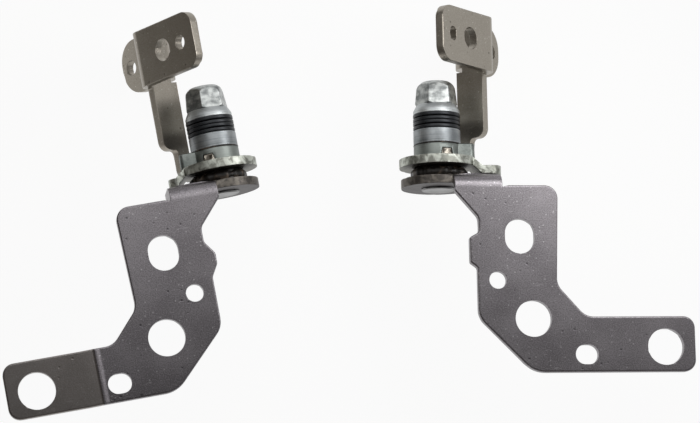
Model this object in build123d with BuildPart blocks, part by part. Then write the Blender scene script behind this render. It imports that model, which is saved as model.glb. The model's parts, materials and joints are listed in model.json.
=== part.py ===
from build123d import *

import math
import os
from dataclasses import dataclass

# A pair of laptop lid hinges, left and right, side by side with their base plates level.
# Each hinge is drawn in its own axes: X from the shaft towards the foot of the base plate,
# Y along the shaft from the base ear towards the nut, Z from the shaft axis to the plate's front.
# The origin of a hinge is on the shaft axis, on the face of the base ear that carries the washers.

# Sheet and bends, shared by both brackets.
sheet = 1.2
bend_inside = 0.8
edge_roll = 0.25
running_gap = 0.03
flat_gap = 0.02
key_gap = 0.04

# Base plate outline.
plate_front = 6.5
fold_start = 1.3
fold_end = 7.8
neck_low = 2.6
waist_x = 4.4
waist_top = 6.2
nib_x = 3.15
nib_top = 8.2
nib_bottom = 13.05
right_nib_slope = 0.7
left_nib_slope = 1.7
heel_line = 4.1
heel_top = 19.85
heel_x = 11.45
plate_bottom = 27.3
foot_end = 33.8
foot_top = 19.75
inside_low_x = 18.8
inside_high = 15.4
body_end = 14.95
body_top_end = 15.45
shoulder = 1.75
shoulder_start = 8.7
neck_round = 1.4
right_nib_round = 0.45
left_nib_round = 1.0
heel_round = 3.0
sole_round = 4.0
foot_round = 1.6
inside_round = 2.4
shoulder_round = 1.8

# Holes of the base plate: two screw holes, a long screw hole and two locating holes.
screw_hole = 5.0
near_screw = (11.6, -20.0)
far_screw = (29.7, -23.9)
long_hole = (4.8, 4.1)
long_hole_place = (10.0, -8.75)
pin_hole = 2.4
pin_place = (6.85, -14.75)
pin_slot = (3.2, 2.7)
pin_slot_place = (18.8, -24.9)

# Step pressed across the foot of the left base plate.
step_start = 21.5
step_run = 1.6
left_foot_step = 0.35

# Shaft with two flats, peened over under the base ear.
ear_radius = 5.1
shaft_diameter = 3.0
shaft_flats = 2.3
peen_diameter = 4.6
peen_height = 0.3
peen_edge = 0.12

# Stack of washers on the shaft, from the base ear to the nut.
washer_diameter = 6.5
washer_edge = 0.15
spacer_height = 1.6
cam_height = 2.0
thrust_height = 2.08
spring_sheet = 0.5
spring_cone = 0.05
spring_count = 4
cap_height = 1.3
cap_rim_height = 0.45
cap_top_diameter = 5.5
cap_diameter = 6.4
nut_sides = 6
nut_flats = 5.1
nut_turn = 30.0
nut_height = 3.2
nut_side_height = 1.9
nut_top_diameter = 3.9

# Two teeth of the lid ear stand in slanted notches of the cam ring.
tooth_width = 1.3
tooth_height = 1.15
tooth_slope = 0.3
tooth_gap = 0.05
tooth_angle = 120.0

# Lobe of the cam ring, above the wing of the lid ear.
lobe_reach = 5.0
lobe_width = 3.6
lobe_round = 0.6

# Lid bracket, in its own axes: the arm's face is square to X and the head plate's face to Z.
lid_ear_radius = 5.3
wing_angle = 50.0
right_wing_reach = 8.6
left_wing_reach = 7.0
wing_width = 5.0
wing_round = 1.4
wing_step_start = 4.6
wing_step_run = 1.3
wing_lift = 0.45
arm_face = 5.15
arm_near = 4.3
arm_far = 0.1
arm_foot = 6.3
arm_corner = 1.2
neck_near = 2.0
head_bottom = 15.15
head_top = 22.85
head_end = -7.1
head_round = 1.9
lug_end = 15.8
lug_bend = 1.0
lug_relief = 0.6
lug_bottom = 16.4
lug_height = 7.6
lug_end_flat = 1.0
lid_screw_hole = 3.1
lid_screw_x = -0.4
lid_pin_hole = 2.0
right_lid_pin_width = 1.5
right_lid_pin_x = -4.65
left_lid_pin_x = -4.2
lug_hole = 2.1
lug_hole_inset = 1.9

# How the pair lies: distance between the shafts and the lean of the left hinge.
pair_spacing = 29.92
left_drop = 0.68
left_lean = 9.85
right_lid_angle = 46.6
left_lid_angle = 55.0

# Sizes that follow from those above.
bend_outside = bend_inside + sheet
fold_tangent = plate_front - bend_outside
washer_radius = washer_diameter / 2
shaft_radius = shaft_diameter / 2
lid_ear_low = spacer_height + flat_gap
lid_ear_high = lid_ear_low + sheet
cam_low = lid_ear_high
thrust_low = cam_low + cam_height + flat_gap
springs_low = thrust_low + thrust_height
spring_pitch = spring_sheet + spring_cone
cap_low = springs_low + spring_count * spring_pitch
nut_low = cap_low + cap_height
nut_high = nut_low + nut_height
nut_corner = nut_flats / (2 * math.cos(math.pi / nut_sides))
arm_back = arm_face + sheet
head_front = arm_near + bend_outside
lug_back = lug_bend - bend_outside
lug_top = lug_bottom + lug_height
lug_round = (lug_height - lug_end_flat) / 2
head_middle = (head_bottom + head_top) / 2
lug_middle = (lug_bottom + lug_top) / 2
anchor_x = (near_screw[0] + far_screw[0]) / 2
anchor_y = (near_screw[1] + far_screw[1]) / 2


@dataclass(frozen=True)
class Side:
    """One hinge of the pair: where it lies, how far its lid bracket is turned and where its sizes differ."""

    name: str
    place: Location
    mirrored: bool
    lid_angle: float
    foot_step: float
    nib_slope: float
    nib_round: float
    wing_reach: float
    pin_width: float
    pin_x: float


right = Side(
    name="right",
    place=Location((-anchor_x, -anchor_y, -plate_front)),
    mirrored=False,
    lid_angle=right_lid_angle,
    foot_step=0.0,
    nib_slope=right_nib_slope,
    nib_round=right_nib_round,
    wing_reach=right_wing_reach,
    pin_width=right_lid_pin_width,
    pin_x=right_lid_pin_x,
)
left = Side(
    name="left",
    place=Location((-anchor_x - pair_spacing, -anchor_y - left_drop, -plate_front), (0, 0, left_lean)),
    mirrored=True,
    lid_angle=left_lid_angle,
    foot_step=left_foot_step,
    nib_slope=left_nib_slope,
    nib_round=left_nib_round,
    wing_reach=left_wing_reach,
    pin_width=lid_pin_hole,
    pin_x=left_lid_pin_x,
)


def finish(piece, side, node):
    """Turns a piece for its side, lays it in the pair's frame and writes it as one node."""
    part = mirror(piece.part, about=Plane.YZ) if side.mirrored else piece.part
    placed = part.moved(side.place)
    placed.label = f"{side.name}_{node}"
    export_step(placed, f"parts/{placed.label}.step")


def across_shaft(height):
    """Plane square to the shaft at a height above the base ear, with X across and Y to the front."""
    return Plane((0, height, 0), x_dir=(1, 0, 0), z_dir=(0, -1, 0))


def corner(sketch, x, y):
    """Corner of a sketch nearest to a point."""
    return sketch.vertices().sort_by_distance((x, y, 0))[0]


def key_profile(gap):
    """Adds the shaft's section, a circle with two flats, grown by a gap, to the open sketch as a cut."""
    with BuildSketch(mode=Mode.PRIVATE) as key:
        Circle(shaft_radius + gap)
        Rectangle(washer_diameter, shaft_flats + 2 * gap, mode=Mode.INTERSECT)
    add(key.sketch, mode=Mode.SUBTRACT)


def bend_section(x_align, y_align):
    """Section of a bend in the sheet, a quarter ring on the side of its centre that the alignments name."""
    with BuildSketch(mode=Mode.PRIVATE) as ring:
        Circle(bend_outside)
        Circle(bend_inside, mode=Mode.SUBTRACT)
        Rectangle(2 * bend_outside, 2 * bend_outside, align=(x_align, y_align), mode=Mode.INTERSECT)
    return ring.sketch


def make_flat_plate(side):
    """Flat blank of the base plate with its holes and its rolled front edge."""
    with BuildPart() as flat_plate:
        with BuildSketch(Plane.XY.offset(plate_front)) as outline:
            with BuildLine():
                Polyline(
                    (fold_start, -bend_outside),
                    (fold_start, -neck_low),
                    (waist_x, -waist_top),
                    (waist_x, -nib_top),
                    (nib_x, -nib_top - side.nib_slope),
                    (nib_x, -nib_bottom + side.nib_slope),
                    (heel_line, -nib_bottom),
                    (heel_line, -heel_top),
                    (heel_x, -plate_bottom),
                    (foot_end, -plate_bottom),
                    (foot_end, -foot_top),
                    (inside_low_x, -foot_top),
                    (body_end, -inside_high),
                    (body_top_end, -shoulder),
                    (shoulder_start, -shoulder),
                    (fold_end, -bend_outside),
                    close=True,
                )
            make_face()
            for x, y, radius in (
                (waist_x, -waist_top, neck_round),
                (waist_x, -nib_top, side.nib_round),
                (nib_x, -nib_top - side.nib_slope, side.nib_round),
                (nib_x, -nib_bottom + side.nib_slope, side.nib_round),
                (heel_line, -nib_bottom, side.nib_round),
                (heel_line, -heel_top, heel_round),
                (heel_x, -plate_bottom, sole_round),
                (foot_end, -plate_bottom, foot_round),
                (foot_end, -foot_top, foot_round),
                (inside_low_x, -foot_top, inside_round),
                (body_end, -inside_high, inside_round),
                (body_top_end, -shoulder, shoulder_round),
            ):
                fillet(corner(outline, x, y), radius)
        extrude(amount=-sheet)
        rim = flat_plate.faces().sort_by(Axis.Z)[-1].outer_wire().edges()
        fold_middle = ((fold_start + fold_end) / 2, -bend_outside, plate_front)
        fold_line = rim.sort_by_distance(fold_middle)[0]
        fillet([edge for edge in rim if edge.distance_to(fold_line) > edge_roll], edge_roll)
        with BuildSketch(Plane.XY.offset(plate_front)):
            with Locations(near_screw, far_screw):
                Circle(screw_hole / 2)
            with Locations(long_hole_place):
                SlotCenterPoint((0, 0), (0, (long_hole[0] - long_hole[1]) / 2), long_hole[1])
            with Locations(pin_place):
                Circle(pin_hole / 2)
            with Locations(pin_slot_place):
                SlotOverall(*pin_slot)
        extrude(amount=-sheet, mode=Mode.SUBTRACT)
    return flat_plate.part


def make_plate(side):
    """Base plate, with the outer foot pressed back by a step where it has one."""
    flat = make_flat_plate(side)
    if not side.foot_step:
        return flat
    step_begin = Plane.YZ.offset(step_start)
    step_finish = Plane.YZ.offset(step_start + step_run)
    body = flat.split(step_begin, keep=Keep.BOTTOM)
    foot = flat.split(step_finish, keep=Keep.TOP).moved(Location((0, 0, -side.foot_step)))
    near_edge = section(flat, section_by=step_begin)
    far_edge = section(flat, section_by=step_finish).moved(Location((0, 0, -side.foot_step)))
    slope = loft([near_edge.face(), far_edge.face()], ruled=True)
    return body + slope + foot


def make_base_bracket(side):
    """Base bracket: the plate, the fold along its top edge and the ear that carries the shaft."""
    plate = make_plate(side)
    fold_section = bend_section(Align.MIN, Align.MIN)
    with BuildPart() as base_bracket:
        add(plate)
        with BuildSketch(Plane.YZ.offset(fold_start)):
            with Locations((-bend_outside, fold_tangent)):
                add(fold_section)
        extrude(amount=fold_end - fold_start)
        with BuildSketch(across_shaft(0)):
            Circle(ear_radius)
            with Locations(((fold_start + fold_end) / 2, fold_tangent / 2)):
                Rectangle(fold_end - fold_start, fold_tangent)
            make_hull()
            key_profile(key_gap)
        extrude(amount=sheet)
    finish(base_bracket, side, "base_bracket")


def make_shaft(side):
    """Hinge shaft with two flats, peened over under the base ear."""
    with BuildPart() as shaft:
        with BuildSketch(across_shaft(-sheet - peen_height)):
            Circle(peen_diameter / 2)
        extrude(amount=-peen_height)
        chamfer(shaft.edges().sort_by(Axis.Y)[0], peen_edge)
        with BuildSketch(across_shaft(-sheet)):
            Circle(shaft_radius)
            Rectangle(washer_diameter, shaft_flats, mode=Mode.INTERSECT)
        extrude(amount=-(nut_high + sheet))
    finish(shaft, side, "hinge_shaft")


def make_washer(side, node, low, height):
    """Flat round washer, held by the shaft's flats."""
    with BuildPart() as washer:
        with BuildSketch(across_shaft(low)):
            Circle(washer_radius)
            key_profile(key_gap)
        extrude(amount=-height)
        rims = washer.edges().filter_by(GeomType.CIRCLE).group_by(SortBy.RADIUS)[-1]
        chamfer(rims, washer_edge)
    finish(washer, side, node)


def tooth_profile(gap):
    """Face of one tooth, or of its notch when grown by a gap, slanted on both flanks."""
    half = tooth_width / 2 + gap
    with BuildSketch(tooth_plane()) as profile:
        with BuildLine():
            Polyline(
                (-half - tooth_slope, 0),
                (half + tooth_slope, 0),
                (half, tooth_height + gap),
                (-half, tooth_height + gap),
                close=True,
            )
        make_face()
    return profile.sketch


def tooth_plane():
    """Plane through the shaft axis, square to the teeth's own direction, on the lid ear's top."""
    along = Vector(1, 0, 0).rotate(Axis.Y, -tooth_angle)
    return Plane((0, lid_ear_high, 0), x_dir=Vector(0, 1, 0).cross(along), z_dir=along)


def wing_direction():
    """Direction in which the lid ear's wing and the cam ring's lobe reach."""
    return Vector(1, 0, 0).rotate(Axis.Y, -wing_angle)


def make_cam_ring(side):
    """Cam ring with a lobe, which turns with the lid bracket, notched underneath for its teeth."""
    notch = tooth_profile(tooth_gap)
    lobe_plane = Plane((0, cam_low, 0), x_dir=wing_direction(), z_dir=(0, -1, 0))
    with BuildPart() as cam_ring:
        with BuildSketch(lobe_plane):
            Circle(washer_radius)
            with Locations((lobe_reach / 2, 0)):
                RectangleRounded(lobe_reach, lobe_width, lobe_round)
            Circle(shaft_radius + running_gap, mode=Mode.SUBTRACT)
        extrude(amount=-cam_height)
        chamfer(cam_ring.faces().sort_by(Axis.Y)[-1].outer_wire().edges(), washer_edge)
        extrude(notch, amount=washer_diameter, both=True, mode=Mode.SUBTRACT)
    turned = cam_ring.part.rotate(Axis.Y, side.lid_angle)
    with BuildPart() as turned_ring:
        add(turned)
    finish(turned_ring, side, "cam_ring")


def make_spring(side, index):
    """One conical disc spring; every second one stands the other way up."""
    low = springs_low + index * spring_pitch
    outer_low = low if index % 2 == 0 else low + spring_cone
    inner_low = low + spring_cone if index % 2 == 0 else low
    bore = shaft_radius + key_gap
    with BuildPart() as disc_spring:
        with BuildSketch():
            with BuildLine():
                Polyline(
                    (bore, inner_low),
                    (washer_radius, outer_low),
                    (washer_radius, outer_low + spring_sheet),
                    (bore, inner_low + spring_sheet),
                    close=True,
                )
            make_face()
        revolve(axis=Axis.Y)
    finish(disc_spring, side, f"disc_spring_{index + 1}")


def make_cap_washer(side):
    """Tapered washer under the nut."""
    bore = shaft_radius + key_gap
    with BuildPart() as cap_washer:
        with BuildSketch():
            with BuildLine():
                Polyline(
                    (bore, cap_low),
                    (cap_diameter / 2, cap_low),
                    (cap_diameter / 2, cap_low + cap_rim_height),
                    (cap_top_diameter / 2, cap_low + cap_height),
                    (bore, cap_low + cap_height),
                    close=True,
                )
            make_face()
        revolve(axis=Axis.Y)
    finish(cap_washer, side, "cap_washer")


def make_nut(side):
    """Lock nut: a hexagon that runs up into a cone."""
    with BuildPart() as lock_nut:
        with BuildSketch(across_shaft(nut_low)):
            RegularPolygon(nut_flats / 2, nut_sides, major_radius=False, rotation=nut_turn)
        extrude(amount=-nut_height)
        with BuildSketch():
            with BuildLine():
                Polyline(
                    (0, nut_low),
                    (nut_corner, nut_low),
                    (nut_corner, nut_low + nut_side_height),
                    (nut_top_diameter / 2, nut_high),
                    (0, nut_high),
                    close=True,
                )
            make_face()
        revolve(axis=Axis.Y, mode=Mode.INTERSECT)
        with BuildSketch(across_shaft(nut_low)):
            Circle(shaft_radius + running_gap)
        extrude(amount=-nut_height, mode=Mode.SUBTRACT)
    finish(lock_nut, side, "lock_nut")


def make_lid_ear(side):
    """Ear of the lid bracket: a bored round with a low wing, and two teeth on its top."""
    wing_plane = Plane((0, 0, 0), x_dir=wing_direction(), z_dir=(0, -1, 0))
    wing_side = Plane((0, 0, 0), x_dir=wing_direction(), z_dir=wing_direction().cross(Vector(0, 1, 0)))
    with BuildPart() as lid_ear:
        with BuildSketch(wing_side):
            with BuildLine():
                Polyline(
                    (-washer_diameter, lid_ear_low),
                    (wing_step_start, lid_ear_low),
                    (wing_step_start + wing_step_run, wing_lift),
                    (side.wing_reach + sheet, wing_lift),
                    (side.wing_reach + sheet, wing_lift + sheet),
                    (wing_step_start + wing_step_run, wing_lift + sheet),
                    (wing_step_start, lid_ear_high),
                    (-washer_diameter, lid_ear_high),
                    close=True,
                )
            make_face()
        extrude(amount=washer_diameter, both=True)
        with BuildSketch(wing_plane):
            Circle(lid_ear_radius)
            with Locations((side.wing_reach / 2, 0)):
                RectangleRounded(side.wing_reach, wing_width, wing_round)
            Circle(shaft_radius + running_gap, mode=Mode.SUBTRACT)
        extrude(amount=-lid_ear_high, mode=Mode.INTERSECT)
    return lid_ear.part


def make_teeth():
    """Two slanted teeth, cut to a ring between the shaft and the washers' rim."""
    profile = tooth_profile(0)
    with BuildPart() as teeth:
        extrude(profile, amount=washer_diameter, both=True)
        with BuildSketch(across_shaft(lid_ear_high)):
            Circle(washer_radius)
            Circle(shaft_radius + bend_inside, mode=Mode.SUBTRACT)
        extrude(amount=-tooth_height, mode=Mode.INTERSECT)
    return teeth.part


def make_lid_bracket(side):
    """Lid bracket, one folded sheet: ear, arm beside the nut, head plate and rear lug."""
    ear = make_lid_ear(side)
    teeth = make_teeth()
    ear_bend = arm_face - bend_inside
    ear_section = bend_section(Align.MIN, Align.MAX)
    head_section = bend_section(Align.MIN, Align.MIN)
    lug_section = bend_section(Align.MAX, Align.MAX)
    with BuildPart() as lid_bracket:
        add(ear)
        add(teeth)
        # Bend from the ear up into the neck of the arm.
        with BuildSketch(Plane.XY.offset(arm_far)):
            with Locations((ear_bend, lid_ear_low + bend_outside)):
                add(ear_section)
        extrude(amount=neck_near - arm_far)
        # Arm and neck, flat beside the stack.
        with BuildSketch(Plane.YZ.offset(arm_face)) as arm:
            with BuildLine():
                Polyline(
                    (lid_ear_low + bend_outside, arm_far),
                    (lug_bottom - lug_relief, arm_far),
                    (lug_bottom - lug_relief, lug_bend),
                    (lug_top, lug_bend),
                    (head_top, arm_near),
                    (arm_foot, arm_near),
                    (arm_foot, neck_near),
                    (lid_ear_low + bend_outside, neck_near),
                    close=True,
                )
            make_face()
            fillet(corner(arm, arm_foot, arm_near), arm_corner)
            fillet(corner(arm, arm_foot, neck_near), arm_corner / 2)
        extrude(amount=sheet)
        # Folds along both edges of the arm's upper end.
        with BuildSketch(across_shaft(head_bottom)):
            with Locations((ear_bend, arm_near)):
                add(head_section)
        extrude(amount=head_bottom - head_top)
        with BuildSketch(across_shaft(lug_bottom)):
            with Locations((arm_back + bend_inside, lug_bend)):
                add(lug_section)
        extrude(amount=lug_bottom - lug_top)
        # Head plate over the nut, with its screw hole and locating hole.
        with BuildSketch(Plane.XY.offset(head_front - sheet)) as head:
            with Locations(((head_end + ear_bend) / 2, head_middle)):
                Rectangle(ear_bend - head_end, head_top - head_bottom)
            fillet(head.vertices().group_by(Axis.X)[0], head_round)
            with Locations((lid_screw_x, head_middle)):
                Circle(lid_screw_hole / 2, mode=Mode.SUBTRACT)
            with Locations((side.pin_x, head_middle)):
                if side.pin_width < lid_pin_hole:
                    pin_reach = (lid_pin_hole - side.pin_width) / 2
                    SlotCenterPoint((0, 0), (0, pin_reach), side.pin_width, mode=Mode.SUBTRACT)
                else:
                    Circle(lid_pin_hole / 2, mode=Mode.SUBTRACT)
        extrude(amount=sheet)
        # Rear lug, parallel to the head plate.
        with BuildSketch(Plane.XY.offset(lug_back)) as lug:
            with Locations(((arm_back + bend_inside + lug_end) / 2, lug_middle)):
                Rectangle(lug_end - arm_back - bend_inside, lug_top - lug_bottom)
            fillet(lug.vertices().group_by(Axis.X)[-1], lug_round)
            with Locations((lug_end - lug_hole_inset, lug_middle)):
                Circle(lug_hole / 2, mode=Mode.SUBTRACT)
        extrude(amount=sheet)
    turned = lid_bracket.part.rotate(Axis.Y, side.lid_angle)
    with BuildPart() as turned_bracket:
        add(turned)
    finish(turned_bracket, side, "lid_bracket")


os.makedirs("parts", exist_ok=True)
for side in (right, left):
    make_base_bracket(side)
    make_shaft(side)
    make_washer(side, "spacer_washer", 0, spacer_height)
    make_lid_bracket(side)
    make_cam_ring(side)
    make_washer(side, "thrust_washer", thrust_low, thrust_height)
    for index in range(spring_count):
        make_spring(side, index)
    make_cap_washer(side)
    make_nut(side)
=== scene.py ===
"""A pair of laptop lid hinges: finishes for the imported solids, turned and greased details, studio and camera."""

from __future__ import annotations

import json
import logging
import math
from dataclasses import dataclass, replace
from enum import Enum

import bpy
import numpy as np
from mathutils import Matrix, Vector

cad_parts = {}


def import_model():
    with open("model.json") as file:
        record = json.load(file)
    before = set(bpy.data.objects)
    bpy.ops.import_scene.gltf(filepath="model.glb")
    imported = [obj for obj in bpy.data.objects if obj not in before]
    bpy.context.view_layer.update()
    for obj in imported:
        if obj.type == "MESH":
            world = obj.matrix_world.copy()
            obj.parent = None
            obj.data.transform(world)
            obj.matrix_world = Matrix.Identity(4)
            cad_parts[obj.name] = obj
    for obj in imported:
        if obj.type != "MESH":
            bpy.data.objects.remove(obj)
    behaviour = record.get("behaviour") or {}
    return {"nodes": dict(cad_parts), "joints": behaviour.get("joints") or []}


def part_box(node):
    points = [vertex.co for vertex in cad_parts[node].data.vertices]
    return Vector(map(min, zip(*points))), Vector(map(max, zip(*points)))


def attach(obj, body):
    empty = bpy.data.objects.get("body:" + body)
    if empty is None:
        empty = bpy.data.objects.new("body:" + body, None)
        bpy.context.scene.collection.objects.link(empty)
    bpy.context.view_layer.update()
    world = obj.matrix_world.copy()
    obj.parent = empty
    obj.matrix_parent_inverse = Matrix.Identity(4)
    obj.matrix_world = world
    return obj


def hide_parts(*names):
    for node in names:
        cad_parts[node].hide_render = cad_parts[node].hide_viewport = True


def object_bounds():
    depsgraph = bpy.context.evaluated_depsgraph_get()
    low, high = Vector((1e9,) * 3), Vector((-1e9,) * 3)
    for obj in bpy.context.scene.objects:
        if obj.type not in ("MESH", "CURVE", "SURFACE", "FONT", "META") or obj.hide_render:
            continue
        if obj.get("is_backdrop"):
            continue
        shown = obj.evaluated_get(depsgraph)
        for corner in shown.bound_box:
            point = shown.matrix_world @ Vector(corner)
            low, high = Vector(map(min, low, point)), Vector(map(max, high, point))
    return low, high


LOG = logging.getLogger("hinge_pair")
MM = 0.001
WHITE = "#ffffff"
SPRING_COUNT = 4


class Side(Enum):
    """The two hinges of the pair."""

    RIGHT = "right"
    LEFT = "left"


class Carrier(Enum):
    """The bodies that added pieces move with."""

    BASES = "bases"


# Angle of each nut's first flat from the front, in radians: the two are not tightened alike.
NUT_TURN = {Side.RIGHT: 0.0, Side.LEFT: math.radians(12.0)}


def linear(hex_colour: str) -> tuple[float, float, float, float]:
    """Turns an sRGB hex colour into linear light.

    Args:
        hex_colour: Six hex digits with or without a leading hash.

    Returns:
        Linear red, green and blue with an alpha of one.
    """
    digits = hex_colour.lstrip("#")
    srgb = np.array([int(digits[i : i + 2], 16) for i in (0, 2, 4)]) / 255.0
    light = np.where(srgb <= 0.04045, srgb / 12.92, ((srgb + 0.055) / 1.055) ** 2.4)
    return (float(light[0]), float(light[1]), float(light[2]), 1.0)


def per_mm(size_mm: float) -> float:
    """Texture scale at which a pattern's cell has a real size in millimetres."""
    return 1.0 / (size_mm * MM)


def add_node(tree: bpy.types.NodeTree, kind: str, inputs: dict | None = None, **settings: object) -> bpy.types.Node:
    """Adds one node with its settings, and links or sets its inputs.

    Args:
        tree: Node tree that gets the node.
        kind: Node type name.
        inputs: Input name or index to a value, or to an output socket to link.
        **settings: Attributes of the node itself.

    Returns:
        The new node.
    """
    made = tree.nodes.new(kind)
    for name, value in settings.items():
        setattr(made, name, value)
    for key, value in (inputs or {}).items():
        if isinstance(value, bpy.types.NodeSocket):
            tree.links.new(value, made.inputs[key])
        else:
            made.inputs[key].default_value = value
    return made


def new_tree(name: str) -> tuple[bpy.types.Material, bpy.types.NodeTree, bpy.types.Node]:
    """Makes an empty material.

    Args:
        name: Material name.

    Returns:
        The material, its node tree and its output node.
    """
    material = bpy.data.materials.new(name)
    material.use_nodes = True
    tree = material.node_tree
    tree.nodes.clear()
    return material, tree, tree.nodes.new("ShaderNodeOutputMaterial")


def ramp(tree: bpy.types.NodeTree, factor: bpy.types.NodeSocket, low: float, high: float) -> bpy.types.NodeSocket:
    """Spreads the part of a value between two limits over nought to one.

    Args:
        tree: Node tree to work in.
        factor: Value to spread.
        low: Value that becomes nought.
        high: Value that becomes one; below low turns the ramp round.

    Returns:
        Socket of the spread value.
    """
    made = add_node(
        tree,
        "ShaderNodeMapRange",
        {"Value": factor, "From Min": low, "From Max": high},
        interpolation_type="SMOOTHSTEP",
    )
    return made.outputs["Result"]


def mix_colour(
    tree: bpy.types.NodeTree, factor: bpy.types.NodeSocket, first: object, second: object
) -> bpy.types.NodeSocket:
    """Mixes two colours.

    Args:
        tree: Node tree to work in.
        factor: Share of the second colour.
        first: Colour, or a socket that gives it.
        second: Colour, or a socket that gives it.

    Returns:
        Socket of the mixed colour.
    """
    made = add_node(tree, "ShaderNodeMix", {"Factor": factor, 6: first, 7: second}, data_type="RGBA")
    return made.outputs[2]


def combine(tree: bpy.types.NodeTree, operation: str, *values: object) -> bpy.types.NodeSocket:
    """Joins numbers or sockets with one arithmetic operation and returns the result's socket."""
    return add_node(tree, "ShaderNodeMath", dict(enumerate(values)), operation=operation).outputs[0]


@dataclass(frozen=True)
class ShaftFrame:
    """Axes of one hinge: origin on the shaft axis at the base ear's top, Y along the shaft to the nut.

    Attributes:
        side: Which hinge of the pair.
        origin: Point on the shaft axis in metres.
        along: Unit vector along the shaft towards the nut.
    """

    side: Side
    origin: tuple[float, float, float]
    along: tuple[float, float, float]

    @classmethod
    def from_joint(cls, side: Side, joint: dict) -> ShaftFrame:
        """Reads the axes of one hinge from its lid joint.

        Args:
            side: Which hinge.
            joint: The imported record's joint of that lid.

        Returns:
            The hinge's shaft frame.
        """
        along = np.array(joint["axis"], float)
        along = along if along[1] > 0 else -along
        return cls(side, tuple(joint["pos_m"]), tuple(along / np.linalg.norm(along)))

    @property
    def lean(self) -> float:
        """Angle of the shaft from the picture's upright, about Z, in radians."""
        return math.atan2(-self.along[0], self.along[1])

    def place(self, points_mm: np.ndarray) -> np.ndarray:
        """Turns points from hinge axes in millimetres to the row frame in metres.

        Args:
            points_mm: Array of points, three numbers each.

        Returns:
            Array of the same shape in metres.
        """
        cosine, sine = math.cos(self.lean), math.sin(self.lean)
        turn = np.array([[cosine, -sine, 0.0], [sine, cosine, 0.0], [0.0, 0.0, 1.0]])
        return points_mm * MM @ turn.T + np.array(self.origin)

    def coordinates(self, tree: bpy.types.NodeTree) -> tuple[bpy.types.NodeSocket, bpy.types.NodeSocket]:
        """Adds nodes that give a point's distance from the shaft axis and its height along it.

        Args:
            tree: Node tree to work in.

        Returns:
            Sockets of the radius and the height, both in metres.
        """
        place = add_node(tree, "ShaderNodeTexCoord").outputs["Object"]
        centred = add_node(tree, "ShaderNodeVectorMath", {0: place, 1: self.origin}, operation="SUBTRACT")
        turned = add_node(
            tree,
            "ShaderNodeVectorRotate",
            {"Vector": centred.outputs[0], "Angle": -self.lean},
            rotation_type="Z_AXIS",
        )
        parts = add_node(tree, "ShaderNodeSeparateXYZ", {0: turned.outputs[0]})
        across = add_node(tree, "ShaderNodeCombineXYZ", {0: parts.outputs[0], 2: parts.outputs[2]})
        radius = add_node(tree, "ShaderNodeVectorMath", {0: across.outputs[0]}, operation="LENGTH")
        return radius.outputs["Value"], parts.outputs[1]


@dataclass(frozen=True)
class SetLine:
    """Line pressed across a plate where its foot is set back, which sharpens the step of the solid, with a painted
    reflection that lightens and warms the foot.

    Attributes:
        point_mm: A point of the line.
        across: Unit vector across the line, from the foot to the plate.
        step_mm: Height and width of the step.
        rise_mm: Height and width of the low rise beyond the step.
        foot: Painted reflection: lighter, warmer colour laid over part of the foot, standing in for
                    the bent foot's reflection of another part of the room.
        foot_reflection_share: Share of that painted reflection on the foot.
        foot_edge_mm: How far the painted reflection fades to both sides of the line.
    """

    point_mm: tuple[float, float, float]
    across: tuple[float, float, float]
    step_mm: tuple[float, float]
    rise_mm: tuple[float, float]
    foot: str
    foot_reflection_share: float = 0.6
    foot_edge_mm: float = 0.1

    def distance(self, tree: bpy.types.NodeTree, place: bpy.types.NodeSocket) -> bpy.types.NodeSocket:
        """Adds nodes that give a point's distance from the line, in metres and negative on the foot.

        Args:
            tree: Node tree to work in.
            place: Object coordinates.

        Returns:
            Socket of the distance.
        """
        origin = tuple(value * MM for value in self.point_mm)
        offset = add_node(tree, "ShaderNodeVectorMath", {0: place, 1: origin}, operation="SUBTRACT")
        along = add_node(
            tree, "ShaderNodeVectorMath", {0: offset.outputs[0], 1: self.across}, operation="DOT_PRODUCT"
        )
        return along.outputs["Value"]

    def relief(self, tree: bpy.types.NodeTree, distance: bpy.types.NodeSocket) -> bpy.types.NodeSocket:
        """Adds the bump of the line: up by the step, then down over the low rise.

        Args:
            tree: Node tree to work in.
            distance: Distance from the line.

        Returns:
            Socket of the bumped normal.
        """
        (step, step_width), (rise, rise_width) = self.step_mm, self.rise_mm
        up = combine(tree, "MULTIPLY", ramp(tree, distance, -0.5 * step_width * MM, 0.5 * step_width * MM), step)
        fall = ramp(tree, distance, 0.5 * step_width * MM, (0.5 * step_width + rise_width) * MM)
        height = combine(tree, "MULTIPLY_ADD", fall, -rise, up)
        return add_node(tree, "ShaderNodeBump", {"Strength": 1.0, "Distance": MM, "Height": height}).outputs[0]


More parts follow.
